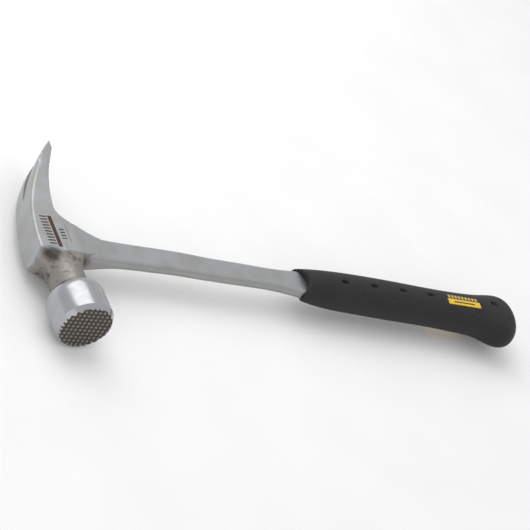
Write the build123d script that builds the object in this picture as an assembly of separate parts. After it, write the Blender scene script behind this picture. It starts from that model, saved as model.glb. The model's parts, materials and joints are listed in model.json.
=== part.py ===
from build123d import *
import math
import os

# A one-piece steel framing hammer lying on its side, millimetres, +Z up.
# The shape is drawn about the eye, where the bell's axis crosses the handle's:
#   +X runs along the handle to the butt, +Y to the claws, -Y to the striking face.
# At the end every piece is moved so that the origin is under the middle of the hammer.

# ---- driving dimensions -------------------------------------------------------

# Bell and neck, along the bell's axis, which leans towards the butt.
BELL_LEAN = 5.5
FACE_REACH = 73.4
BELL_RADIUS = 19.0
MILLED_RADIUS = 16.6
FACE_CHAMFER = 4.0
SHOULDER_START = 53.7
SHOULDER_LENGTH = 10.0
NECK_RADIUS = 12.0
NECK_WAIST = 33.0
NECK_COVE_RADIUS = 20.0

# Head block and claws.
CREST_RADIUS = 153.3
CREST_X = -17.2
CREST_Y = -6.0
CHEEK_HALF = 11.5
CHEEK_END_Y = 18.0
CLAW_HALF_ROOT = 13.9
CLAW_HALF_TIP = 13.2
CLAW_TIP_Y = 84.5
CLAW_HEEL_Y = 77.0
CREST_CHAMFER = 1.3
CHAMFER_STOP_Y = 62.0
NAIL_SLOT_ROOT_Y = 35.5
NAIL_SLOT_HALF_ANGLE = 10.5

# Shank and the forked tang that the grip is moulded on.
TAIL_END = 56.0
SHANK_HALF = 3.8
SHANK_EDGE_RADIUS = 3.2
TANG_START = 203.0
TANG_END = 362.0
TANG_FRONT_Y = -8.0
TANG_BACK_Y = 8.5
FORK_START = 262.0
FORK_GAP = 3.2

# Shank sections from the head to the grip: x, front y, back y, half thickness in Z.
SHANK_SECTIONS = [
    (16.0, -14.6, 5.8, 8.2),
    (30.0, -14.7, 6.2, 5.7),
    (45.0, -12.4, 7.4, 4.3),
    (60.0, -11.4, 8.3, SHANK_HALF),
    (75.0, -10.5, 8.9, SHANK_HALF),
    (105.0, -9.5, 9.3, SHANK_HALF),
    (140.0, -8.7, 9.3, SHANK_HALF),
    (160.0, -8.1, 9.4, SHANK_HALF),
    (175.0, -8.6, 9.9, SHANK_HALF),
    (186.0, -9.9, 11.0, SHANK_HALF),
    (TANG_START, -10.8, 11.4, SHANK_HALF),
]

# Grip.
MOUTH_X = 195.0
MOUTH_RADIUS = 18.0
GRIP_WALL = 4.2
CORE_START = 206.0
CORE_END = 372.0
BADGE_CENTRE_X = 330.0
BADGE_CENTRE_Y = 0.8
BADGE_LENGTH = 29.4
BADGE_WIDTH = 9.8
BADGE_BOTTOM_Z = 11.0

# Grip sections from the mouth to the butt: x, middle y, half depth in Y, half thickness in Z.
GRIP_SECTIONS = [
    (186.0, 0.6, 12.8, 6.6),
    (200.0, 0.4, 13.9, 10.0),
    (214.0, 0.3, 14.6, 11.7),
    (240.0, 0.5, 15.4, 12.4),
    (270.0, 0.6, 15.7, 12.5),
    (312.0, 0.4, 15.7, 12.4),
    (334.0, 0.2, 16.6, 12.7),
    (350.0, -0.5, 18.9, 13.1),
    (362.5, -2.2, 23.1, 13.5),
    (371.6, -0.6, 22.3, 13.0),
    (378.6, 1.2, 17.4, 10.4),
    (382.3, 0.6, 9.6, 5.2),
]


def polar_point(reach, side):
    """A point at `reach` along the bell's axis and `side` across it, towards the butt."""
    lean = math.radians(BELL_LEAN)
    x = reach * math.sin(lean) + side * math.cos(lean)
    y = -reach * math.cos(lean) + side * math.sin(lean)
    return (x, y)


def crest_x(y):
    """The height of the head's crowned top over the handle's axis at `y`."""
    centre = CREST_X + CREST_RADIUS
    return centre - math.sqrt(CREST_RADIUS ** 2 - (y - CREST_Y) ** 2)


def bell_axis_solid(profile):
    """Turns a profile drawn as (side, reach) about the bell's axis."""
    turned = revolve(profile, Axis.Y, 360)
    return Rot(0, 0, BELL_LEAN) * mirror(turned, Plane.XZ)


# ---- the forging ----------------------------------------------------------------

def side_profile():
    """The head and claws as seen on the cheek, with a tail that sinks into the shank."""
    front_y = -36.0
    neck_side = NECK_RADIUS - 0.05
    crest = ThreePointArc(
        (crest_x(front_y), front_y),
        (crest_x(24.0), 24.0),
        (crest_x(CLAW_TIP_Y), CLAW_TIP_Y),
    )
    claw_end = Line(crest @ 1, (12.6, CLAW_HEEL_Y))
    underside = Spline(claw_end @ 1, (7.5, 62.5), (2.5, 44.0), (1.3, 26.0))
    crotch = Spline(underside @ 1, (3.6, 14.2), (11.0, 8.4), (24.0, 6.3), tangents=[(-0.05, -1), (1, -0.07)])
    tail_back = Spline(crotch @ 1, (TAIL_END, 1.0), tangents=[(1, -0.07), (1, -0.35)])
    tail_end = Line(tail_back @ 1, (TAIL_END, -5.0))
    tail_front = Spline(tail_end @ 1, (28.0, -16.0), tangents=[(-1, -0.45), (-1, -0.08)])
    throat = Spline(tail_front @ 1, polar_point(22.5, neck_side), tangents=[(-1, -0.08), (0.1, -1)])
    along_neck = Line(throat @ 1, polar_point(36.0, neck_side))
    close = Line(along_neck @ 1, crest @ 0)
    outline = [crest, claw_end, underside, crotch, tail_back, tail_end, tail_front, throat, along_neck, close]
    return make_face(Wire(outline))


def slab(face, plane, half):
    """A face drawn on a plane, thickened evenly to both sides as one block."""
    return extrude(plane.offset(-half) * face, 2 * half)


def mirrored_face(*edges):
    """A face from edges drawn on the upper side of the middle line and their mirror images below."""
    upper = Curve() + list(edges)
    lower = mirror(upper, Plane.XZ)
    return make_face(upper.edges() + lower.edges())


def head_plan():
    """The head seen along the handle: how thick it is from the neck to the claw tips."""
    neck = Spline((-37.0, 12.4), (-18.0, CHEEK_HALF), tangents=[(1, -0.09), (1, 0)])
    cheek = Line(neck @ 1, (CHEEK_END_Y, CHEEK_HALF))
    flare = Spline(cheek @ 1, (46.0, CLAW_HALF_ROOT), tangents=[(1, 0), (1, 0)])
    claw = Line(flare @ 1, (CLAW_TIP_Y + 4, CLAW_HALF_TIP))
    start = Line((-37.0, 0), neck @ 0)
    end = Line(claw @ 1, (CLAW_TIP_Y + 4, 0))
    face = mirrored_face(start, neck, cheek, flare, claw, end)
    return slab(face, Plane.YZ, 400)


def cheek_taper():
    """The head seen from the claws: the cheeks thinning towards the shank."""
    wide = CLAW_HALF_ROOT + 2
    start = Line((-30.0, 0), (-30.0, wide))
    over_head = Line(start @ 1, (10.0, wide))
    step = Line(over_head @ 1, (10.0, CHEEK_HALF))
    taper = Spline(step @ 1, (20.0, 9.0), (30.0, 5.9), (TAIL_END + 2, 2.0), tangents=[(1, 0), (1, -0.1)])
    end = Line(taper @ 1, (TAIL_END + 2, 0))
    face = mirrored_face(start, over_head, step, taper, end)
    return slab(face, Plane.XZ, 150)


def head_block():
    """The head and claws: three thickened views cut against each other, chamfered but for the tips."""
    full = slab(side_profile(), Plane.XY, 20) & head_plan()
    block = full & cheek_taper()
    crest = [
        edge for edge in block.edges()
        if abs(edge.center().Z) > CHEEK_HALF - 1 and abs(edge.center().X - crest_x(edge.center().Y)) < 0.3
    ]
    tip_length = CLAW_TIP_Y + 5 - CHAMFER_STOP_Y
    tips = full & Pos(0, CHAMFER_STOP_Y + tip_length / 2, 0) * Box(100, tip_length, 60)
    return chamfer(crest, CREST_CHAMFER) + tips


def neck_envelope():
    """The round space that the head block is turned down to where it runs into the neck."""
    reach_to_edge = NECK_WAIST - NECK_COVE_RADIUS
    cove = RadiusArc(
        (NECK_RADIUS, NECK_WAIST), (NECK_RADIUS + NECK_COVE_RADIUS, reach_to_edge), -NECK_COVE_RADIUS
    )
    outline = Polyline(
        cove @ 1, (150, reach_to_edge), (150, -150), (0, -150), (0, NECK_WAIST), cove @ 0
    )
    return bell_axis_solid(make_face(cove.edges() + outline.edges()))


def bell_and_neck():
    """The round neck, the rounded shoulder, the bell and its chamfered rim."""
    shoulder_back = SHOULDER_START - SHOULDER_LENGTH
    shoulder_foot = BELL_RADIUS - 6.0
    neck = Line((0, 12.0), (NECK_RADIUS - 0.4, 12.0))
    side = Line(neck @ 1, (NECK_RADIUS, NECK_WAIST))
    waist = Spline(side @ 1, (shoulder_foot, shoulder_back), tangents=[(0, 1), (1, 2.5)])
    shoulder = Spline(waist @ 1, (BELL_RADIUS, SHOULDER_START), tangents=[(1, 0.35), (0, 1)])
    barrel = Line(shoulder @ 1, (BELL_RADIUS, FACE_REACH - FACE_CHAMFER))
    chamfer = Line(barrel @ 1, (MILLED_RADIUS, FACE_REACH))
    face = Line(chamfer @ 1, (0, FACE_REACH))
    middle = Line(face @ 1, neck @ 0)
    return bell_axis_solid(make_face(Wire([neck, side, waist, shoulder, barrel, chamfer, face, middle])))


def nail_slot():
    """The tapering slot between the claws."""
    length = CLAW_TIP_Y + 10 - NAIL_SLOT_ROOT_Y
    half = length * math.tan(math.radians(NAIL_SLOT_HALF_ANGLE))
    wedge = make_face(Polyline(
        (NAIL_SLOT_ROOT_Y, -0.4), (NAIL_SLOT_ROOT_Y + length, -half),
        (NAIL_SLOT_ROOT_Y + length, half), (NAIL_SLOT_ROOT_Y, 0.4), close=True,
    ))
    return slab(wedge, Plane.YZ, 60)


def shank():
    """The shank, a flat bar with well rounded edges that thins from the head and flares at the grip."""
    sections = []
    for x, front, back, half in SHANK_SECTIONS:
        plane = Plane(origin=(x, (front + back) / 2, 0), x_dir=(0, 1, 0), z_dir=(1, 0, 0))
        sections.append(plane * RectangleRounded(back - front, 2 * half, SHANK_EDGE_RADIUS))
    return loft(sections)


def tang():
    """The bar inside the grip, slit from its end into two tines like a tuning fork."""
    depth = TANG_BACK_Y - TANG_FRONT_Y
    middle = (TANG_BACK_Y + TANG_FRONT_Y) / 2
    length = TANG_END - TANG_START + 4
    bar = Pos(TANG_END - length / 2, middle, 0) * Box(length, depth, 2 * SHANK_HALF)
    return bar - fork_gap()


def fork_gap():
    """The slit between the tines, with a round root."""
    middle = (TANG_BACK_Y + TANG_FRONT_Y) / 2
    length = TANG_END - FORK_START
    slit = Pos((FORK_START + TANG_END) / 2, middle, 0) * Box(length, FORK_GAP, 2 * SHANK_HALF)
    return slit + Pos(FORK_START, middle, 0) * Cylinder(FORK_GAP / 2, 2 * SHANK_HALF)


def forged_hammer():
    """Head, claws, neck, bell, shank and tang, forged as one piece."""
    head = head_block() & neck_envelope()
    whole = head + bell_and_neck() + shank() + tang()
    return whole - nail_slot()


# ---- the grip -------------------------------------------------------------------

def oval_loft(sections, inset, ruled=False):
    """A solid through the oval grip sections, drawn in by `inset`, straight between them if ruled."""
    ovals = []
    for x, middle, half_depth, half_thickness in sections:
        plane = Plane(origin=(x, middle, 0), x_dir=(0, 1, 0), z_dir=(1, 0, 0))
        ovals.append(plane * Ellipse(half_depth - inset, half_thickness - inset))
    return loft(ovals, ruled=ruled)


def grip_outside():
    """The outer shape of the grip with its concave mouth."""
    body = oval_loft(GRIP_SECTIONS, 0)
    mouth = Pos(MOUTH_X - MOUTH_RADIUS, 0.4, 0) * Cylinder(MOUTH_RADIUS, 60)
    return body - mouth


def core_outside():
    """The outer shape of the hard inner layer, one wall thickness inside the grip."""
    inner = [row for row in GRIP_SECTIONS if CORE_START < row[0] < CORE_END + 2]
    return oval_loft(inner, GRIP_WALL, ruled=True)


def fork_damper():
    """The rubber strip that fills the slit between the tines."""
    return fork_gap()


def inner_grip_core(forging, damper):
    """The hard layer moulded straight onto the tang."""
    return core_outside() - forging - damper


def badge(side):
    """A thin label inlay flush with one broad side of the grip: side is 1 for the top, -1 below."""
    depth = 10.0
    middle_z = side * (BADGE_BOTTOM_Z + depth / 2)
    block = Pos(BADGE_CENTRE_X, BADGE_CENTRE_Y, middle_z) * Box(BADGE_LENGTH, BADGE_WIDTH, depth)
    return grip_outside() & block


def outer_grip(forging, core, damper, badges):
    """The soft rubber layer that the hand holds."""
    grip = grip_outside() - core_outside() - forging - damper
    for inlay in badges:
        grip = grip - inlay
    return grip


def build_parts():
    """Every sub-part by name, drawn about the eye of the hammer."""
    forging = forged_hammer()
    damper = fork_damper()
    core = inner_grip_core(forging, damper)
    badges = {"upper_side_badge": badge(1), "lower_side_badge": badge(-1)}
    grip = outer_grip(forging, core, damper, badges.values())
    return {
        "forged_hammer": forging,
        "fork_damper": damper,
        "inner_grip_core": core,
        "outer_grip": grip,
        **badges,
    }


def main():
    """Moves the origin under the middle of the hammer and writes one file for each sub-part."""
    os.makedirs("parts", exist_ok=True)
    parts = build_parts()
    box = Compound(children=[Compound(part.solids()) for part in parts.values()]).bounding_box()
    centre = box.center()
    to_origin = Pos(-centre.X, -centre.Y, -box.min.Z)
    for name, part in parts.items():
        export_step(to_origin * part, f"parts/{name}.step")
    print("size", box.size, "eye at", -centre.X, -centre.Y, -box.min.Z)


if __name__ == "__main__":
    main()
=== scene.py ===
"""A one-piece steel framing hammer with a moulded rubber grip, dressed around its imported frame."""

import json
import logging
import math
from dataclasses import dataclass
from enum import Enum

import bpy
import bmesh
from mathutils import Matrix, Vector

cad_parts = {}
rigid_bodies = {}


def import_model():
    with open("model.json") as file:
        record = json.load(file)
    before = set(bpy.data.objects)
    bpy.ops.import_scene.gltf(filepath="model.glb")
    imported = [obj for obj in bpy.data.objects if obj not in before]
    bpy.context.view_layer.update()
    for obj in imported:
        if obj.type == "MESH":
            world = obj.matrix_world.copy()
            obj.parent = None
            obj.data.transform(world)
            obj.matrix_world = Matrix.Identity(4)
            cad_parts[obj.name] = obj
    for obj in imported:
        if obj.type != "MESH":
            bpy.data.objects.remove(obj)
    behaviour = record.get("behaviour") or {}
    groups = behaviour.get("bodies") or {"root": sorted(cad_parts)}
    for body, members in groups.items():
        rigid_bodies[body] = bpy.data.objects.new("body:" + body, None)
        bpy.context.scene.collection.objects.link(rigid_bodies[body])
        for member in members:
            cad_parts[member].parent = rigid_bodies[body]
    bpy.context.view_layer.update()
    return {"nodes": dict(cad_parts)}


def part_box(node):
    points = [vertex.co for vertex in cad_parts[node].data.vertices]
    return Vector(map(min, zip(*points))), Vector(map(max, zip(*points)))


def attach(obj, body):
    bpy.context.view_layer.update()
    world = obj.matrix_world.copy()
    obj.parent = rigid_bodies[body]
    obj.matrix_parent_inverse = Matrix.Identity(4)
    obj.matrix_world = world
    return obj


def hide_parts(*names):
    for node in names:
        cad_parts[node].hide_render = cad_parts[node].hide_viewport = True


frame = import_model()

LOG = logging.getLogger("hammer")
MM = 0.001
WELD_DISTANCE = 2e-6


class Slot(Enum):
    """Names of the record's material slots for the new pieces; nothing in the script uses them."""

    STEEL = "forged_steel"
    GRIP = "grip_rubber"


# ---- places -----------------------------------------------------------------------


@dataclass(frozen=True)
class Eye:
    """Where the bell's axis crosses the handle's axis, the way the bell leans and its main sizes.

    Sizes are in millimetres: +x runs to the butt, +y to the claws, z is up from the middle plane.
    """

    crest_height: float = 17.2
    claw_reach: float = 84.5
    bell_radius: float = 19.0
    bell_lean: float = 5.5
    face_reach: float = 73.4
    milled_radius: float = 16.6

    def origin(self) -> Vector:
        """The eye's place in the frame, from the forging's own box.

        Returns:
            The point in metres.
        """
        low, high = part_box("forged_hammer")
        x = low.x + self.crest_height * MM
        y = high.y - self.claw_reach * MM
        z = low.z + self.bell_radius * MM
        return Vector((x, y, z))

    def at(self, x: float, y: float, z: float) -> Vector:
        """A point given in millimetres from the eye.

        Args:
            x: distance towards the butt.
            y: distance towards the claws.
            z: height over the middle plane.

        Returns:
            The point in the frame, in metres.
        """
        return self.origin() + Vector((x, y, z)) * MM

    def bell_axes(self) -> tuple[Vector, Vector]:
        """The directions that the bell is drawn in.

        Returns:
            The direction across the bell towards the butt, and the one out of the striking face.
        """
        lean = math.radians(self.bell_lean)
        outward = Vector((math.sin(lean), -math.cos(lean), 0.0))
        across = Vector((math.cos(lean), math.sin(lean), 0.0))
        return across, outward

    def bell_matrix(self) -> Matrix:
        """The matrix from the bell's own axes to the frame.

        Returns:
            A matrix whose z axis points out of the striking face and whose x axis points to the butt.
        """
        across, outward = self.bell_axes()
        up = outward.cross(across)
        turn = Matrix((across, up, outward)).transposed().to_4x4()
        return Matrix.Translation(self.origin()) @ turn


EYE = Eye()


# ---- working by hand in edit mode ---------------------------------------------------


def deselect_all() -> None:
    """Leaves nothing selected, in object mode."""
    if bpy.context.mode != "OBJECT":
        bpy.ops.object.mode_set(mode="OBJECT")
    for item in bpy.context.view_layer.objects:
        item.select_set(False)


def activate(piece: bpy.types.Object) -> None:
    """Makes one object the only selected and the active one.

    Args:
        piece: the object to work on.
    """
    deselect_all()
    piece.select_set(True)
    bpy.context.view_layer.objects.active = piece


def apply_modifier(piece: bpy.types.Object, kind: str, **settings: object) -> None:
    """Adds one modifier with its settings and applies it.

    Args:
        piece: the object to change.
        kind: Blender's name for the modifier type.
        **settings: the modifier's properties.
    """
    activate(piece)
    modifier = piece.modifiers.new(kind.lower(), kind)
    for name, value in settings.items():
        setattr(modifier, name, value)
    bpy.ops.object.modifier_apply(modifier=modifier.name)


def copy_of_node(node: str, name: str) -> bpy.types.Object:
    """A closed, welded copy of a CAD node's mesh.

    Args:
        node: the CAD node.
        name: the new piece's name.

    Returns:
        The copy, with its own mesh and no material.
    """
    mesh = frame["nodes"][node].data.copy()
    piece = bpy.data.objects.new(name, mesh)
    bpy.context.collection.objects.link(piece)
    mesh.materials.clear()
    activate(piece)
    bpy.ops.mesh.customdata_custom_splitnormals_clear()
    bpy.ops.object.mode_set(mode="EDIT")
    bpy.ops.mesh.select_all(action="SELECT")
    bpy.ops.mesh.remove_doubles(threshold=WELD_DISTANCE)
    bpy.ops.mesh.normals_make_consistent(inside=False)
    bpy.ops.object.mode_set(mode="OBJECT")
    return piece


def cut_away(piece: bpy.types.Object, point: Vector, normal: Vector) -> None:
    """Cuts a closed piece with a plane and closes the cut, keeping the side behind the normal.

    Args:
        piece: the object to cut.
        point: a point on the plane.
        normal: the plane's normal, pointing at what is thrown away.
    """
    activate(piece)
    bpy.ops.object.mode_set(mode="EDIT")
    bpy.ops.mesh.select_all(action="SELECT")
    bpy.ops.mesh.bisect(plane_co=point, plane_no=normal, use_fill=True, clear_outer=True)
    bpy.ops.object.mode_set(mode="OBJECT")


def soften(piece: bpy.types.Object, near: list[int], passes: int) -> None:
    """Rubs down part of a dense mesh and leaves the rest as it is.

    Args:
        piece: the object to change.
        near: the vertices to rub down.
        passes: how many times they are smoothed.
    """
    group = piece.vertex_groups.new(name="rubbed")
    group.add(near, 1.0, "REPLACE")
    apply_modifier(piece, "SMOOTH", factor=0.5, iterations=passes, vertex_group="rubbed")
    piece.vertex_groups.clear()


def vertices_near(piece: bpy.types.Object, spots: list[Vector], radius: float) -> list[int]:
    """Finds the vertices close to any of a few points.

    Args:
        piece: the object to search.
        spots: the points in the frame.
        radius: how close counts, in millimetres.

    Returns:
        The vertices' indices.
    """
    return [
        vertex.index for vertex in piece.data.vertices
        if any((vertex.co - spot).length < radius * MM for spot in spots)
    ]


def finish_piece(piece: bpy.types.Object, material: bpy.types.Material) -> None:
    """Gives a piece its material and its body, and reports it.

    Args:
        piece: the finished object.
        material: the finish.
    """
    piece.data.materials.clear()
    piece.data.materials.append(material)
    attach(piece, "root")
    count = sum(len(face.vertices) - 2 for face in piece.data.polygons)
    LOG.info("%s: %d triangles", piece.name, count)


def ring(station: float, radius: float, sides: int, name: str) -> bpy.types.Object:
    """Starts a turned piece with one open ring square to its own z axis.

    Args:
        station: height of the ring along z, in millimetres.
        radius: radius of the ring, in millimetres.
        sides: number of straight sides.
        name: the piece's name.

    Returns:
        The new object, left in edit mode with the ring selected.
    """
    deselect_all()
    bpy.ops.mesh.primitive_circle_add(vertices=sides, radius=radius * MM, location=(0, 0, 0))
    piece = bpy.context.active_object
    piece.name = name
    bpy.ops.object.mode_set(mode="EDIT")
    bpy.ops.mesh.select_all(action="SELECT")
    bpy.ops.transform.translate(value=(0, 0, station * MM))
    return piece


def block(
    name: str, low: tuple[float, float, float], high: tuple[float, float, float]
) -> bpy.types.Object:
    """A box from one corner to the other, in millimetres, with its origin at zero.

    Args:
        name: the object's name.
        low: the corner with the smallest numbers.
        high: the opposite corner.

    Returns:
        The new object.
    """
    deselect_all()
    bpy.ops.mesh.primitive_cube_add(size=1.0, location=(0, 0, 0))
    box = bpy.context.active_object
    box.name = name
    size = [(b - a) * MM for a, b in zip(low, high)]
    middle = [(a + b) / 2 * MM for a, b in zip(low, high)]
    bpy.ops.object.mode_set(mode="EDIT")
    bpy.ops.transform.resize(value=size)
    bpy.ops.transform.translate(value=middle)
    bpy.ops.object.mode_set(mode="OBJECT")
    return box


def move_mesh(piece: bpy.types.Object, matrix: Matrix) -> None:
    """Moves a piece's mesh and leaves its object at the origin.

    Args:
        piece: the object to move.
        matrix: where its mesh goes.
    """
    piece.data.transform(piece.matrix_world)
    piece.matrix_world = Matrix.Identity(4)
    piece.data.transform(matrix)
    piece.data.update()


def remove(piece: bpy.types.Object) -> None:
    """Deletes a helper object and its mesh.

    Args:
        piece: the helper.
    """
    mesh = piece.data
    bpy.data.objects.remove(piece)
    bpy.data.meshes.remove(mesh)


def carve(piece: bpy.types.Object, cutter: bpy.types.Object) -> None:
    """Cuts a closed cutter out of a closed piece and throws the cutter away.

    Args:
        piece: the object to cut.
        cutter: the closed shape to take away.
    """
    apply_modifier(piece, "BOOLEAN", operation="DIFFERENCE", solver="EXACT", object=cutter)
    remove(cutter)


# ---- finishes ---------------------------------------------------------------------


def paint(code: str) -> tuple[float, float, float, float]:
    """Turns an sRGB hex colour into the linear colour a shader takes.

    Args:
        code: six hex digits after a hash.

    Returns:
        Red, green, blue and 1.
    """
    out = []
    for start in (1, 3, 5):
        value = int(code[start:start + 2], 16) / 255
        out.append(value / 12.92 if value <= 0.04045 else ((value + 0.055) / 1.055) ** 2.4)
    return (*out, 1.0)


class Nodes:
    """A material being wired up, with short ways to add the nodes that every finish uses."""

    def __init__(self, name: str) -> None:
        """Starts an empty node material.

        Args:
            name: the material's name.
        """
        self.material = bpy.data.materials.new(name)
        self.material.use_nodes = True
        self.tree = self.material.node_tree
        self.tree.nodes.clear()
        coordinates = self.add("ShaderNodeTexCoord")
        self.place = coordinates.outputs["Object"]
        self.facing = coordinates.outputs["Normal"]

    def add(self, kind: str, inputs: dict | None = None, **settings: object) -> bpy.types.Node:
        """Adds one node with its settings and its inputs.

        Args:
            kind: the node's type.
            inputs: for each input's name or number, a socket to link or a value to set.
            **settings: the node's properties.

        Returns:
            The node.
        """
        node = self.tree.nodes.new(kind)
        for name, value in settings.items():
            setattr(node, name, value)
        for name, value in (inputs or {}).items():
            if isinstance(value, bpy.types.NodeSocket):
                self.tree.links.new(value, node.inputs[name])
            else:
                node.inputs[name].default_value = value
        return node

    def math(self, operation: str, *values: object) -> bpy.types.NodeSocket:
        """Adds a math node.

        Args:
            operation: the node's operation.
            *values: its inputs in order, sockets or numbers.

        Returns:
            The result.
        """
        node = self.add("ShaderNodeMath", dict(enumerate(values)), operation=operation)
        return node.outputs[0]

    def along(self, origin: Vector, axis: Vector) -> bpy.types.NodeSocket:
        """How far a point lies along an axis.

        Args:
            origin: a point where the distance is zero, in metres.
            axis: the axis, of length one.

        Returns:
            The distance in millimetres.
        """
        offset = self.add("ShaderNodeVectorMath", {0: self.place, 1: origin}, operation="SUBTRACT")
        inputs = {0: offset.outputs[0], 1: axis}
        distance = self.add("ShaderNodeVectorMath", inputs, operation="DOT_PRODUCT")
        return self.math("DIVIDE", distance.outputs["Value"], MM)

    def ramp(
        self, value: bpy.types.NodeSocket, start: float, stop: float, low: float = 0.0, high: float = 1.0
    ) -> bpy.types.NodeSocket:
        """A smooth step from one value to another.

        Args:
            value: what is measured.
            start: where the step begins.
            stop: where it ends.
            low: the result before the step.
            high: the result after it.

        Returns:
            The stepped value.
        """
        inputs = {0: value, 1: start, 2: stop, 3: low, 4: high}
        return self.add("ShaderNodeMapRange", inputs, interpolation_type="SMOOTHSTEP").outputs[0]

    def noise(
        self, size: float, detail: float = 3.0, roughness: float = 0.55,
        stretch: tuple[float, float, float] = (1.0, 1.0, 1.0),
    ) -> bpy.types.NodeSocket:
        """Soft random variation of a given real size.

        Args:
            size: how wide one blotch is, in millimetres.
            detail: how many finer layers it has.
            roughness: how strong the finer layers are.
            stretch: how much longer the blotches are along x, y and z.

        Returns:
            A value around one half.
        """
        scale = tuple(1.0 / (size * MM * part) for part in stretch)
        place = self.add("ShaderNodeVectorMath", {0: self.place, 1: scale}, operation="MULTIPLY")
        inputs = {"Vector": place.outputs[0], "Scale": 1.0, "Detail": detail, "Roughness": roughness}
        return self.add("ShaderNodeTexNoise", inputs).outputs["Fac"]

    def blend(self, factor: object, first: object, second: object) -> bpy.types.NodeSocket:
        """Mixes two colours.

        Args:
            factor: 0 for the first, 1 for the second.
            first: a colour or a socket.
            second: a colour or a socket.

        Returns:
            The mixed colour.
        """
        node = self.add("ShaderNodeMix", data_type="RGBA")
        for place, value in ((0, factor), (6, first), (7, second)):
            if isinstance(value, bpy.types.NodeSocket):
                self.tree.links.new(value, node.inputs[place])
            else:
                node.inputs[place].default_value = value
        return node.outputs[2]

    def bump(self, height: bpy.types.NodeSocket, depth: float, before: object = None) -> bpy.types.NodeSocket:
        """Fine relief too small to model.

        Args:
            height: the relief, 0 to 1.
            depth: how deep it is, in millimetres.
            before: the normal of an earlier bump.

        Returns:
            The new normal.
        """
        inputs = {"Height": height, "Distance": depth * MM, "Strength": 1.0}
        if before is not None:
            inputs["Normal"] = before
        return self.add("ShaderNodeBump", inputs).outputs[0]

    def finish(self, **inputs: object) -> bpy.types.Material:
        """Adds the surface shader and the output.

        Args:
            **inputs: the shader's inputs, with underscores for spaces.

        Returns:
            The finished material.
        """
        names = {name.replace("_", " "): value for name, value in inputs.items()}
        shader = self.add("ShaderNodeBsdfPrincipled", names)
        self.add("ShaderNodeOutputMaterial", {"Surface": shader.outputs[0]})
        return self.material


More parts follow.
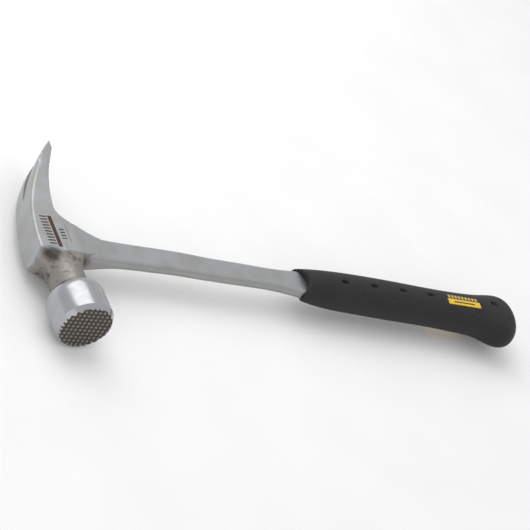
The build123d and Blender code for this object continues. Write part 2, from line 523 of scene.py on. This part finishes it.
@dataclass(frozen=True)
class ForgedSteel:
    """Forged steel, its cheeks and claws ground and fine-blasted, its neck left rough from the die.

    The ground surfaces are silky and cool, the neck is blotched and brown, and a plain row of
    ticks and bars is etched on the upper cheek, so the head reads as worked metal.
    """

    ground: str = "#ABAEB0"
    ground_warm: str = "#A5A4A2"
    # The front-edge colour is painted shade, a little warm, for faces turned towards -y.
    front_face_shade: str = "#938E87"
    front_face_shade_share: float = 0.5
    rough: str = "#938F8A"
    scale: str = "#3E3631"
    etched: str = "#54463F"
    # The slot colour is painted shade for the narrow nail slot.
    slot_shade: str = "#85807A"
    neck_start: float = 17.5
    neck_fade: float = 2.2
    neck_side: tuple[float, float] = (13.0, 19.0)
    wander: float = 7.0
    scorch_and_shade_reach: tuple[float, float] = (13.5, 19.0)
    scorch_and_shade_share: float = 0.85
    patch_core: float = 0.35
    scorch: tuple[float, float, float, float] = (-9.0, -21.0, 11.0, 8.5)
    # The throat patch is painted shade in the concave corner where the neck meets the shank.
    throat: tuple[float, float, float, float] = (17.5, -19.5, 1.0, 9.5)
    slot_root: float = 35.0
    slot_slope: float = 0.185
    slot_half: float = 0.45
    bar: tuple[float, float, float, float] = (-4.6, -2.0, -11.3, 15.4)
    ticks: tuple[float, float, float, float] = (-10.6, -5.6, -10.8, 15.0)
    tick_pitch: float = 2.6
    weight_bar: tuple[float, float, float, float] = (0.2, 3.6, -2.0, 8.0)
    thin_line: tuple[float, float, float, float] = (5.8, 6.2, -4.5, 10.0)
    mark_height: tuple[float, float] = (10.6, 11.0)
    soft: float = 0.25

    def box_mask(
        self, nodes: Nodes, across: bpy.types.NodeSocket, reach: bpy.types.NodeSocket,
        box: tuple[float, float, float, float],
    ) -> bpy.types.NodeSocket:
        """A soft-edged rectangle on the cheek.

        Args:
            nodes: the material being wired.
            across: distance across the bell's axis.
            reach: distance along the bell's axis.
            box: low and high across, then low and high along.

        Returns:
            One inside and zero outside.
        """
        left = nodes.ramp(across, box[0] - self.soft, box[0])
        right = nodes.ramp(across, box[1], box[1] + self.soft, 1.0, 0.0)
        low = nodes.ramp(reach, box[2] - self.soft, box[2])
        high = nodes.ramp(reach, box[3], box[3] + self.soft, 1.0, 0.0)
        return nodes.math("MULTIPLY", nodes.math("MULTIPLY", left, right), nodes.math("MULTIPLY", low, high))

    def mark(
        self, nodes: Nodes, across: bpy.types.NodeSocket, reach: bpy.types.NodeSocket
    ) -> bpy.types.NodeSocket:
        """The etched ticks and bars on the upper cheek.

        Args:
            nodes: the material being wired.
            across: distance across the bell's axis.
            reach: distance along the bell's axis.

        Returns:
            One on the mark and zero elsewhere.
        """
        turns = nodes.math("DIVIDE", reach, self.tick_pitch)
        wave = nodes.math("PINGPONG", turns, 0.5)
        stripe = nodes.ramp(wave, 0.2, 0.27, 1.0, 0.0)
        ticks = nodes.math("MULTIPLY", self.box_mask(nodes, across, reach, self.ticks), stripe)
        bars = nodes.math("MAXIMUM", self.box_mask(nodes, across, reach, self.bar), ticks)
        weight = nodes.math("MULTIPLY", self.box_mask(nodes, across, reach, self.weight_bar), stripe)
        line = nodes.math("MULTIPLY", self.box_mask(nodes, across, reach, self.thin_line), 0.5)
        every = nodes.math("MAXIMUM", nodes.math("MAXIMUM", bars, weight), line)
        height = nodes.along(EYE.origin(), Vector((0, 0, 1)))
        return nodes.math("MULTIPLY", every, nodes.ramp(height, *self.mark_height))

    def patch(
        self, nodes: Nodes, spot: tuple[float, float, float, float], wander: bpy.types.NodeSocket
    ) -> bpy.types.NodeSocket:
        """A soft dark patch with a wandering edge.

        Args:
            nodes: the material being wired.
            spot: its middle from the eye and its radius, in millimetres.
            wander: how far the edge wanders, in millimetres.

        Returns:
            One in the middle and zero outside.
        """
        inputs = {0: nodes.place, 1: EYE.at(*spot[:3])}
        away = nodes.add("ShaderNodeVectorMath", inputs, operation="DISTANCE").outputs["Value"]
        reach = nodes.math("ADD", nodes.math("DIVIDE", away, MM), wander)
        return nodes.ramp(reach, spot[3] * self.patch_core, spot[3], 1.0, 0.0)

    def slot_shade_mask(self, nodes: Nodes) -> bpy.types.NodeSocket:
        """Painted shade in the narrow nail slot between the claws.

        Args:
            nodes: the material being wired.

        Returns:
            One between the claws and zero elsewhere.
        """
        claw = nodes.along(EYE.at(0.0, self.slot_root, 0.0), Vector((0, 1, 0)))
        height = nodes.math("ABSOLUTE", nodes.along(EYE.origin(), Vector((0, 0, 1))))
        wall = nodes.math("MULTIPLY_ADD", claw, self.slot_slope, self.slot_half)
        between = nodes.ramp(nodes.math("SUBTRACT", height, wall), 0.0, 0.35, 1.0, 0.0)
        return nodes.math("MULTIPLY", between, nodes.ramp(claw, -0.6, 0.4))

    def material(self) -> bpy.types.Material:
        """Wires the finish.

        Returns:
            The material.
        """
        nodes = Nodes("forged_steel_ground_and_blasted")
        across_axis, reach_axis = EYE.bell_axes()
        across = nodes.along(EYE.origin(), across_axis)
        reach = nodes.along(EYE.origin(), reach_axis)
        grain = nodes.noise(0.35, 2.0, 0.6, (1.0, 6.0, 1.0))
        cloud = nodes.noise(14.0, 3.0, 0.5)
        blotch = nodes.noise(4.5, 5.0, 0.62)
        stain = nodes.noise(7.0, 4.0, 0.6)
        pits = nodes.noise(1.1, 4.0, 0.6)
        wander = nodes.math("MULTIPLY", nodes.math("SUBTRACT", blotch, 0.5), self.wander)
        edge = nodes.math("ADD", reach, wander)
        beside = nodes.ramp(nodes.math("ADD", across, wander), *self.neck_side, 1.0, 0.0)
        above = nodes.ramp(edge, self.neck_start, self.neck_start + self.neck_fade)
        neck = nodes.math("MULTIPLY", above, beside)
        ground = nodes.blend(nodes.ramp(cloud, 0.35, 0.7), paint(self.ground), paint(self.ground_warm))
        rough = nodes.blend(nodes.ramp(stain, 0.5, 0.72, 0.0, 0.75), paint(self.rough), paint(self.scale))
        # Painted shade, a little warm, on faces turned towards -y: the front edge of the neck and shank is
        # darkened by the way it faces.
        facing = nodes.add("ShaderNodeVectorMath", {0: nodes.facing, 1: (0, -1, 0)}, operation="DOT_PRODUCT")
        front = nodes.math("MULTIPLY", nodes.ramp(facing.outputs["Value"], 0.5, 0.85), self.front_face_shade_share)
        ground = nodes.blend(front, ground, paint(self.front_face_shade))
        colour = nodes.blend(neck, ground, rough)
        # Two dark patches in the scale colour: the scorch patch is forging scale, the throat patch is painted
        # shade in the concave corner under the cheek.
        scorched = self.patch(nodes, self.scorch, wander)
        dark = nodes.math("MAXIMUM", scorched, self.patch(nodes, self.throat, wander))
        dark = nodes.math("MULTIPLY", dark, nodes.ramp(edge, *self.scorch_and_shade_reach))
        colour = nodes.blend(nodes.math("MULTIPLY", dark, self.scorch_and_shade_share), colour, paint(self.scale))
        # Painted shade darkens the nail slot between the claws.
        colour = nodes.blend(self.slot_shade_mask(nodes), colour, paint(self.slot_shade))
        colour = nodes.blend(self.mark(nodes, across, reach), colour, paint(self.etched))
        silk = nodes.ramp(grain, 0.2, 0.8, 0.34, 0.46)
        worn = nodes.ramp(blotch, 0.3, 0.7, 0.34, 0.6)
        roughness = nodes.add("ShaderNodeMix", {0: neck, 2: silk, 3: worn}, data_type="FLOAT").outputs[0]
        fine = nodes.bump(grain, 0.006)
        neck_relief = nodes.math("MULTIPLY", nodes.math("ADD", pits, blotch), neck)
        normal = nodes.bump(neck_relief, 0.3, fine)
        return nodes.finish(Base_Color=colour, Metallic=1.0, Roughness=roughness, Normal=normal)


@dataclass(frozen=True)
class TurnedSteel:
    """Steel turned on a lathe and polished, with the milled points of the face left dark.

    Fine rings run round the bell and catch the light in a crisp band, while the pits between the points
    stay dull and carry painted shade that deepens with their depth, so the face reads as a rasp.
    """

    polished: str = "#AEB0B2"
    tops: str = "#938E89"
    # The pits colour is painted shade deep in the milled grooves.
    pits: str = "#605A55"
    clouded: str = "#A7A9AB"
    face_edge: tuple[float, float] = (71.4, 71.9)
    pit_shade_depth: tuple[float, float] = (0.05, 1.0)
    chamfer_slope: float = 0.6
    ring_pitch: float = 0.34
    ring_depth: float = 0.0012

    def material(self) -> bpy.types.Material:
        """Wires the finish.

        Returns:
            The material.
        """
        nodes = Nodes("steel_turned_and_polished")
        across_axis, reach_axis = EYE.bell_axes()
        across = nodes.along(EYE.origin(), across_axis)
        reach = nodes.along(EYE.origin(), reach_axis)
        height = nodes.along(EYE.origin(), Vector((0, 0, 1)))
        squares = nodes.math("ADD", nodes.math("POWER", across, 2.0), nodes.math("POWER", height, 2.0))
        radius = nodes.math("SQRT", squares)
        drop = nodes.math("SUBTRACT", EYE.face_reach, reach)
        cone = nodes.math("MULTIPLY_ADD", drop, self.chamfer_slope, EYE.milled_radius)
        inside = nodes.ramp(nodes.math("SUBTRACT", cone, radius), 0.1, 0.35)
        front = nodes.ramp(reach, *self.face_edge)
        milled = nodes.math("MULTIPLY", inside, front)
        # Painted shade: the milled face darkens with depth below the face towards the pit colour.
        depth = nodes.ramp(drop, *self.pit_shade_depth)
        pit_shade = nodes.blend(depth, paint(self.tops), paint(self.pits))
        cloud = nodes.noise(9.0, 3.0, 0.5)
        bright = nodes.blend(nodes.ramp(cloud, 0.3, 0.7), paint(self.polished), paint(self.clouded))
        colour = nodes.blend(milled, bright, pit_shade)
        sheen = nodes.ramp(cloud, 0.3, 0.7, 0.2, 0.27)
        roughness = nodes.add("ShaderNodeMix", {0: milled, 2: sheen, 3: 0.55}, data_type="FLOAT").outputs[0]
        rings = nodes.math("SINE", nodes.math("MULTIPLY", reach, 2 * math.pi / self.ring_pitch))
        relief = nodes.math("MULTIPLY", rings, nodes.ramp(cloud, 0.35, 0.65))
        normal = nodes.bump(relief, self.ring_depth)
        return nodes.finish(Base_Color=colour, Metallic=1.0, Roughness=roughness, Normal=normal)


@dataclass(frozen=True)
class MouldedRubber:
    """Soft rubber straight from a spark-eroded mould: a dull, even pebble that swallows light.

    The pebble breaks every highlight into a haze, and faint greyer patches show where a hand wipes it.
    """

    name: str = "rubber_moulded_pebbled"
    dark: str = "#1E1D1D"
    wiped: str = "#282727"
    pebble: float = 0.45
    depth: float = 0.035
    patch_size: float = 22.0

    def material(self) -> bpy.types.Material:
        """Wires the finish.

        Returns:
            The material.
        """
        nodes = Nodes(self.name)
        pebble = nodes.noise(self.pebble, 2.0, 0.5)
        patch = nodes.noise(self.patch_size, 3.0, 0.5)
        colour = nodes.blend(nodes.ramp(patch, 0.35, 0.7), paint(self.dark), paint(self.wiped))
        roughness = nodes.ramp(patch, 0.3, 0.7, 0.62, 0.74)
        normal = nodes.bump(pebble, self.depth)
        return nodes.finish(Base_Color=colour, Roughness=roughness, Normal=normal, Specular_IOR_Level=0.4)


@dataclass(frozen=True)
class MouldedPlastic:
    """Hard plastic from a polished mould: smoother than the rubber, with faint flow lines along the part."""

    name: str = "plastic_injection_moulded"
    body: str = "#2E2E31"
    flow: str = "#3A3A3D"

    def material(self) -> bpy.types.Material:
        """Wires the finish.

        Returns:
            The material.
        """
        nodes = Nodes(self.name)
        streak = nodes.noise(3.0, 3.0, 0.5, (10.0, 1.0, 1.0))
        colour = nodes.blend(nodes.ramp(streak, 0.35, 0.7), paint(self.body), paint(self.flow))
        roughness = nodes.ramp(streak, 0.3, 0.7, 0.36, 0.46)
        normal = nodes.bump(nodes.noise(0.6, 2.0, 0.5), 0.01)
        return nodes.finish(Base_Color=colour, Roughness=roughness, Normal=normal)


@dataclass(frozen=True)
class PrintedLabel:
    """Glossy plastic printed in two colours: a yellow plate with a dark ruler of plain ticks above it.

    The print is flat and clean against the dull rubber, which makes it the one bright spot on the grip.
    """

    name: str = "plastic_gloss_printed"
    yellow: str = "#EDC522"
    black: str = "#1B1A19"
    worn_yellow: str = "#D9AF1D"
    middle: tuple[float, float] = (330.0, 0.8)
    length: float = 29.4
    margin: float = 1.4
    soft: float = 0.18
    tick_pitch: float = 3.1
    ruler_middle: float = 2.4
    ruler_half: float = 1.3
    line_middle: float = -2.6
    line_half: float = 0.5
    line_length: float = 19.0

    def material(self) -> bpy.types.Material:
        """Wires the finish.

        Returns:
            The material.
        """
        nodes = Nodes(self.name)
        centre = EYE.at(self.middle[0], self.middle[1], 0.0)
        along = nodes.along(centre, Vector((1, 0, 0)))
        across = nodes.along(centre, Vector((0, 1, 0)))
        wear = nodes.noise(1.2, 3.0, 0.6)
        plate = nodes.ramp(across, -self.soft, 0.0, 1.0, 0.0)
        end = self.length / 2 - self.margin
        from_middle = nodes.math("ABSOLUTE", along)
        edge = nodes.ramp(from_middle, end - self.soft, end, 1.0, 0.0)
        wave = nodes.math("PINGPONG", nodes.math("DIVIDE", along, self.tick_pitch), 0.5)
        ticks = nodes.ramp(wave, 0.24, 0.28, 1.0, 0.0)
        from_band = nodes.math("ABSOLUTE", nodes.math("SUBTRACT", across, self.ruler_middle))
        band = nodes.ramp(from_band, self.ruler_half, self.ruler_half + self.soft, 1.0, 0.0)
        ruler = nodes.math("MULTIPLY", nodes.math("MULTIPLY", ticks, band), edge)
        from_line = nodes.math("ABSOLUTE", nodes.math("SUBTRACT", across, self.line_middle))
        slot = nodes.ramp(from_line, self.line_half, self.line_half + self.soft, 1.0, 0.0)
        short = nodes.ramp(from_middle, self.line_length / 2, self.line_length / 2 + self.soft, 1.0, 0.0)
        line = nodes.math("MULTIPLY", slot, short)
        inked = nodes.math("MAXIMUM", nodes.math("SUBTRACT", plate, line), ruler)
        tint = nodes.blend(nodes.ramp(wear, 0.4, 0.75), paint(self.yellow), paint(self.worn_yellow))
        colour = nodes.blend(inked, paint(self.black), tint)
        roughness = nodes.ramp(wear, 0.3, 0.7, 0.3, 0.42)
        normal = nodes.bump(inked, 0.02)
        return nodes.finish(Base_Color=colour, Roughness=roughness, Normal=normal)


@dataclass(frozen=True)
class PalePaper:
    """Matt white background paper: its faint tooth keeps the floor from looking like empty light."""

    white: str = "#FCFCFB"
    clouded: str = "#F9F9F8"

    def material(self) -> bpy.types.Material:
        """Wires the finish.

        Returns:
            The material.
        """
        nodes = Nodes("paper_matt_white")
        cloud = nodes.noise(60.0, 3.0, 0.5)
        colour = nodes.blend(nodes.ramp(cloud, 0.3, 0.7), paint(self.white), paint(self.clouded))
        normal = nodes.bump(nodes.noise(0.8, 2.0, 0.5), 0.02)
        return nodes.finish(Base_Color=colour, Roughness=0.9, Normal=normal)


# ---- the hammer ---------------------------------------------------------------------


@dataclass
class Head:
    """The forging: claws, cheeks, neck and shank, with edges softened as the die leaves them."""

    bell_cut: float = 45.5
    shank_cut: float = 215.0
    voxel: float = 0.5
    most_triangles: int = 180_000
    neck_span: tuple[float, float] = (19.0, 42.0)
    neck_side: float = 24.0
    neck_passes: int = 40
    chamfer_end: tuple[float, float, float] = (-1.0, 62.0, 13.2)
    run_out_radius: float = 8.0
    run_out_passes: int = 30

    def soften_neck(self, piece: bpy.types.Object) -> None:
        """Rubs out the creases between the cheeks, the neck and the throat.

        Args:
            piece: the remeshed forging.
        """
        across, reach = EYE.bell_axes()
        origin = EYE.origin()
        start, stop = (value * MM for value in self.neck_span)
        near = []
        for vertex in piece.data.vertices:
            place = vertex.co - origin
            if start < place.dot(reach) < stop and place.dot(across) < self.neck_side * MM:
                near.append(vertex.index)
        soften(piece, near, self.neck_passes)

    def build(self) -> bpy.types.Object:
        """Makes the forging without its bell, which is turned apart.

        Returns:
            The finished piece.
        """
        piece = copy_of_node("forged_hammer", "head_and_shank")
        across, reach = EYE.bell_axes()
        cut_away(piece, EYE.origin() + reach * self.bell_cut * MM, reach)
        cut_away(piece, EYE.at(self.shank_cut, 0, 0), Vector((1, 0, 0)))
        apply_modifier(piece, "REMESH", mode="VOXEL", voxel_size=self.voxel * MM, use_smooth_shade=True)
        self.soften_neck(piece)
        run_out = [EYE.at(*self.chamfer_end[:2], side * self.chamfer_end[2]) for side in (1, -1)]
        soften(piece, vertices_near(piece, run_out, self.run_out_radius), self.run_out_passes)
        apply_modifier(piece, "SMOOTH", factor=0.5, iterations=1)
        count = 2 * len(piece.data.polygons)
        if count > self.most_triangles:
            apply_modifier(piece, "DECIMATE", ratio=self.most_triangles / count)
        activate(piece)
        bpy.ops.object.shade_smooth()
        finish_piece(piece, ForgedSteel().material())
        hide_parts("forged_hammer")
        return piece


@dataclass
class Bell:
    """The round bell: a turned shoulder and barrel, and a striking face milled into points.

    The breaks are small steps in reach and radius that soften the bell's corners.
    """

    radius: float = EYE.bell_radius
    neck_radius: float = 12.9
    neck_start: float = 41.0
    shoulder_start: float = 43.7
    shoulder_steps: int = 14
    barrel_start: float = 53.7
    barrel_end: float = 69.3
    face_reach: float = EYE.face_reach
    milled_radius: float = EYE.milled_radius
    neck_tuck: float = 1.2
    shoulder_break: tuple[float, float] = (-0.9, -0.5)
    barrel_break: tuple[tuple[float, float], ...] = ((-5.0, 0.0), (-0.5, 0.0), (0.0, -0.06), (0.45, -0.3))
    face_break: tuple[tuple[float, float], ...] = ((-0.35, 0.25), (-0.1, 0.0), (0.0, -0.3))
    sides: int = 180
    smooth_angle: float = 28.0
    groove_pitch: float = 3.2
    groove_width: float = 2.1
    groove_depth: float = 1.25
    root_share: float = 0.2
    comb_half: float = 25.0
    comb_above: float = 2.0
    count: int = 10
    upward_shift: float = -0.3

    def profile(self) -> list[tuple[float, float]]:
        """The outline from the neck to the face.

        Returns:
            Pairs of reach and radius in millimetres.
        """
        back, inward = self.shoulder_break
        points = [(self.neck_start, self.neck_radius - self.neck_tuck)]
        points.append((self.shoulder_start + back, self.neck_radius + inward))
        for step in range(self.shoulder_steps + 1):
            turn = math.pi / 2 * (1 - step / self.shoulder_steps)
            reach = self.barrel_start - (self.barrel_start - self.shoulder_start) * math.sin(turn)
            out = self.neck_radius + (self.radius - self.neck_radius) * math.cos(turn)
            points.append((reach, out))
        points += [(self.barrel_end + on, self.radius + out) for on, out in self.barrel_break]
        points += [(self.face_reach + on, self.milled_radius + out) for on, out in self.face_break]
        return points

    def turned_blank(self) -> bpy.types.Object:
        """Pulls one ring along the outline and closes both ends.

        Returns:
            The blank along its own z axis.
        """
        stations = self.profile()
        reach, radius = stations[0]
        piece = ring(reach, radius, self.sides, "bell")
        bpy.ops.mesh.edge_face_add()
        for next_reach, next_radius in stations[1:]:
            bpy.ops.mesh.extrude_region_move(
                TRANSFORM_OT_translate={"value": (0, 0, (next_reach - reach) * MM)}
            )
            share = next_radius / radius
            bpy.ops.transform.resize(value=(share, share, 1), center_override=(0, 0, next_reach * MM))
            reach, radius = next_reach, next_radius
        bpy.ops.mesh.select_all(action="SELECT")
        bpy.ops.mesh.normals_make_consistent(inside=False)
        bpy.ops.object.mode_set(mode="OBJECT")
        return piece

    def groove_comb(self, shift: float) -> bpy.types.Object:
        """A comb of V-shaped ridges that cuts one direction of the face's grooves.

        Args:
            shift: how far the comb is moved sideways.

        Returns:
            The comb, with its ridges along x.
        """
        half = self.groove_width / 2
        first = -self.groove_pitch * (self.count - 1) / 2 + shift
        slope = half / self.groove_depth
        wide = half + self.comb_above * slope
        ridge = block(
            "comb", (-self.comb_half, first - wide, self.face_reach - self.groove_depth),
            (self.comb_half, first + wide, self.face_reach + self.comb_above),
        )
        activate(ridge)
        bpy.ops.object.mode_set(mode="EDIT")
        bpy.ops.mesh.select_all(action="DESELECT")
        mesh = bmesh.from_edit_mesh(ridge.data)
        for face in mesh.faces:
            face.select = face.normal.z < -0.9
        mesh.select_flush_mode()
        bmesh.update_edit_mesh(ridge.data)
        bpy.ops.transform.resize(
            value=(1, self.root_share * half / wide, 1),
            center_override=(0, first * MM, (self.face_reach - self.groove_depth) * MM),
        )
        bpy.ops.object.mode_set(mode="OBJECT")
        apply_modifier(
            ridge, "ARRAY", count=self.count, use_relative_offset=False, use_constant_offset=True,
            constant_offset_displace=(0, self.groove_pitch * MM, 0),
        )
        return ridge

    def build(self) -> bpy.types.Object:
        """Turns the bell, mills its face and sets it on the neck.

        Returns:
            The finished piece.
        """
        piece = self.turned_blank()
        carve(piece, self.groove_comb(self.upward_shift + self.groove_pitch / 2))
        crossing = self.groove_comb(0.0)
        move_mesh(crossing, Matrix.Rotation(math.pi / 2, 4, "Z"))
        carve(piece, crossing)
        move_mesh(piece, EYE.bell_matrix())
        activate(piece)
        bpy.ops.object.shade_smooth_by_angle(angle=math.radians(self.smooth_angle))
        finish_piece(piece, TurnedSteel().material())
        return piece


@dataclass
class Grip:
    """The rubber grip: a soft-edged sleeve with rows of small oval pockets on both broad sides."""

    voxel: float = 0.66
    middle_row: tuple[float, ...] = (223.4, 249.0, 274.6, 300.2)
    middle_row_y: tuple[float, ...] = (-1.3, -0.5, 0.3, 1.1)
    middle_pocket: tuple[float, float, float] = (3.6, 1.6, 2.8)
    finger_row: tuple[float, ...] = (238.8, 264.4, 290.0, 315.6, 341.2)
    finger_row_y: float = -8.6
    finger_pocket: tuple[float, float, float] = (2.4, 1.7, 0.9)
    butt_pocket: tuple[float, float, float] = (3.3, 3.0, 3.0)
    butt_place: tuple[float, float] = (360.0, 3.0)
    end_place: tuple[float, float] = (369.0, -10.0)
    ray_height: float = 40.0
    smooth_passes: int = 3

    def pocket(
        self, piece: bpy.types.Object, x: float, y: float, side: int, size: tuple[float, float, float]
    ) -> bpy.types.Object:
        """An egg-shaped cutter sunk halfway into the grip's surface.

        Args:
            piece: the grip, to find its surface.
            x: place along the handle.
            y: place across the grip.
            side: 1 for the upper side and -1 for the lower.
            size: half length, half width and depth.

        Returns:
            The cutter.
        """
        start = EYE.at(x, y, side * self.ray_height)
        _, spot, normal, _ = piece.ray_cast(start, Vector((0, 0, -side)))
        deselect_all()
        bpy.ops.mesh.primitive_uv_sphere_add(segments=32, ring_count=16, radius=1.0)
        egg = bpy.context.active_object
        across = normal.cross(Vector((1, 0, 0))).normalized()
        forward = across.cross(normal)
        turn = Matrix((forward, across, normal)).transposed().to_4x4()
        scale = Matrix.Diagonal((size[0] * MM, size[1] * MM, size[2] * MM, 1.0))
        move_mesh(egg, Matrix.Translation(spot) @ turn @ scale)
        return egg

    def pockets(self, piece: bpy.types.Object) -> bpy.types.Object:
        """Every pocket's cutter, joined into one.

        Args:
            piece: the grip.

        Returns:
            The joined cutter.
        """
        eggs = []
        for side in (1, -1):
            middle = zip(self.middle_row, self.middle_row_y)
            eggs += [self.pocket(piece, x, y, side, self.middle_pocket) for x, y in middle]
            fingers = [(x, self.finger_row_y) for x in self.finger_row] + [self.end_place]
            eggs += [self.pocket(piece, x, y, side, self.finger_pocket) for x, y in fingers]
            eggs.append(self.pocket(piece, *self.butt_place, side, self.butt_pocket))
        deselect_all()
        for egg in eggs:
            egg.select_set(True)
        bpy.context.view_layer.objects.active = eggs[0]
        bpy.ops.object.join()
        return eggs[0]

    def build(self) -> bpy.types.Object:
        """Presses the pockets into the sleeve and softens every edge.

        Returns:
            The finished piece.
        """
        piece = copy_of_node("outer_grip", "grip_sleeve")
        carve(piece, self.pockets(piece))
        apply_modifier(piece, "REMESH", mode="VOXEL", voxel_size=self.voxel * MM, use_smooth_shade=True)
        apply_modifier(piece, "SMOOTH", factor=0.5, iterations=self.smooth_passes)
        activate(piece)
        bpy.ops.object.shade_smooth()
        finish_piece(piece, MouldedRubber().material())
        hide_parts("outer_grip")
        return piece


def dress_frame() -> None:
    """Gives the pieces that stay as they are in the frame their finishes."""
    label = PrintedLabel().material()
    finishes = {
        "upper_side_badge": label,
        "lower_side_badge": label,
        "inner_grip_core": MouldedPlastic().material(),
        "fork_damper": MouldedRubber(name="rubber_damping_strip", dark="#242322", wiped="#2F2E2C").material(),
    }
    for node, material in finishes.items():
        mesh = frame["nodes"][node].data
        mesh.materials.clear()
        mesh.materials.append(material)


# ---- studio -------------------------------------------------------------------------


@dataclass
class Camera:
    """A long lens that looks down past the striking face at the upper cheek."""

    aim: tuple[float, float, float] = (114.1, -48.8, 55.4)
    right: tuple[float, float, float] = (0.828, -0.283, 0.484)
    up: tuple[float, float, float] = (-0.150, 0.720, 0.678)
    distance: float = 1151.0
    lens: float = 123.9
    sensor: float = 36.0

    def build(self) -> bpy.types.Object:
        """Adds the camera and makes it the scene's.

        Returns:
            The camera object.
        """
        right = Vector(self.right).normalized()
        back = right.cross(Vector(self.up)).normalized()
        up = back.cross(right)
        turn = Matrix((right, up, back)).transposed().to_4x4()
        place = EYE.at(*self.aim) + back * self.distance * MM
        data = bpy.data.cameras.new("camera")
        data.lens = self.lens
        data.sensor_width = self.sensor
        camera = bpy.data.objects.new("camera", data)
        camera.matrix_world = Matrix.Translation(place) @ turn
        bpy.context.collection.objects.link(camera)
        bpy.context.scene.camera = camera
        return camera


@dataclass
class Studio:
    """A pale floor, a wide soft box over the hammer and even, dim light from all round."""

    floor_half: float = 3000.0
    box_aim: tuple[float, float, float] = (60.0, 0.0, 20.0)
    box_direction: tuple[float, float, float] = (-0.208, 0.562, 0.803)
    box_distance: float = 1100.0
    box_size: float = 1050.0
    box_power: float = 4.9
    fill_direction: tuple[float, float, float] = (-0.85, -0.45, 0.3)
    fill_distance: float = 1500.0
    fill_size: float = 900.0
    fill_power: float = 1.0
    world_grey: float = 0.78

    def floor(self) -> None:
        """Lays a large sheet under the hammer."""
        deselect_all()
        bpy.ops.mesh.primitive_plane_add(size=2 * self.floor_half * MM, location=(0, 0, 0))
        sheet = bpy.context.active_object
        sheet.name = "floor"
        sheet.data.materials.append(PalePaper().material())

    def lamp(
        self, name: str, direction: tuple[float, float, float], distance: float, size: float, power: float
    ) -> None:
        """Adds one square soft box that faces the hammer.

        Args:
            name: the light's name.
            direction: from the hammer to the light.
            distance: how far away it stands, in millimetres.
            size: its side, in millimetres.
            power: its power in watts.
        """
        data = bpy.data.lights.new(name, "AREA")
        data.shape = "SQUARE"
        data.size = size * MM
        data.energy = power
        light = bpy.data.objects.new(name, data)
        outward = Vector(direction).normalized()
        light.location = EYE.at(*self.box_aim) + outward * distance * MM
        light.rotation_euler = outward.to_track_quat("Z", "Y").to_euler()
        bpy.context.collection.objects.link(light)

    def surroundings(self) -> None:
        """Sets the dim even light of the room."""
        world = bpy.data.worlds.new("room")
        world.use_nodes = True
        grey = self.world_grey
        world.node_tree.nodes["Background"].inputs["Color"].default_value = (grey, grey, grey * 1.01, 1.0)
        bpy.context.scene.world = world

    def build(self) -> None:
        """Sets up the floor and the lights."""
        self.floor()
        self.lamp("soft_box", self.box_direction, self.box_distance, self.box_size, self.box_power)
        self.lamp("side_fill", self.fill_direction, self.fill_distance, self.fill_size, self.fill_power)
        self.surroundings()


def main() -> None:
    """Builds the hammer, dresses it and sets up the studio."""
    logging.basicConfig(level=logging.INFO, format="%(message)s")
    bpy.context.scene.view_settings.view_transform = "Standard"
    Head().build()
    Bell().build()
    Grip().build()
    dress_frame()
    Camera().build()
    Studio().build()


if __name__ == "__main__":
    main()
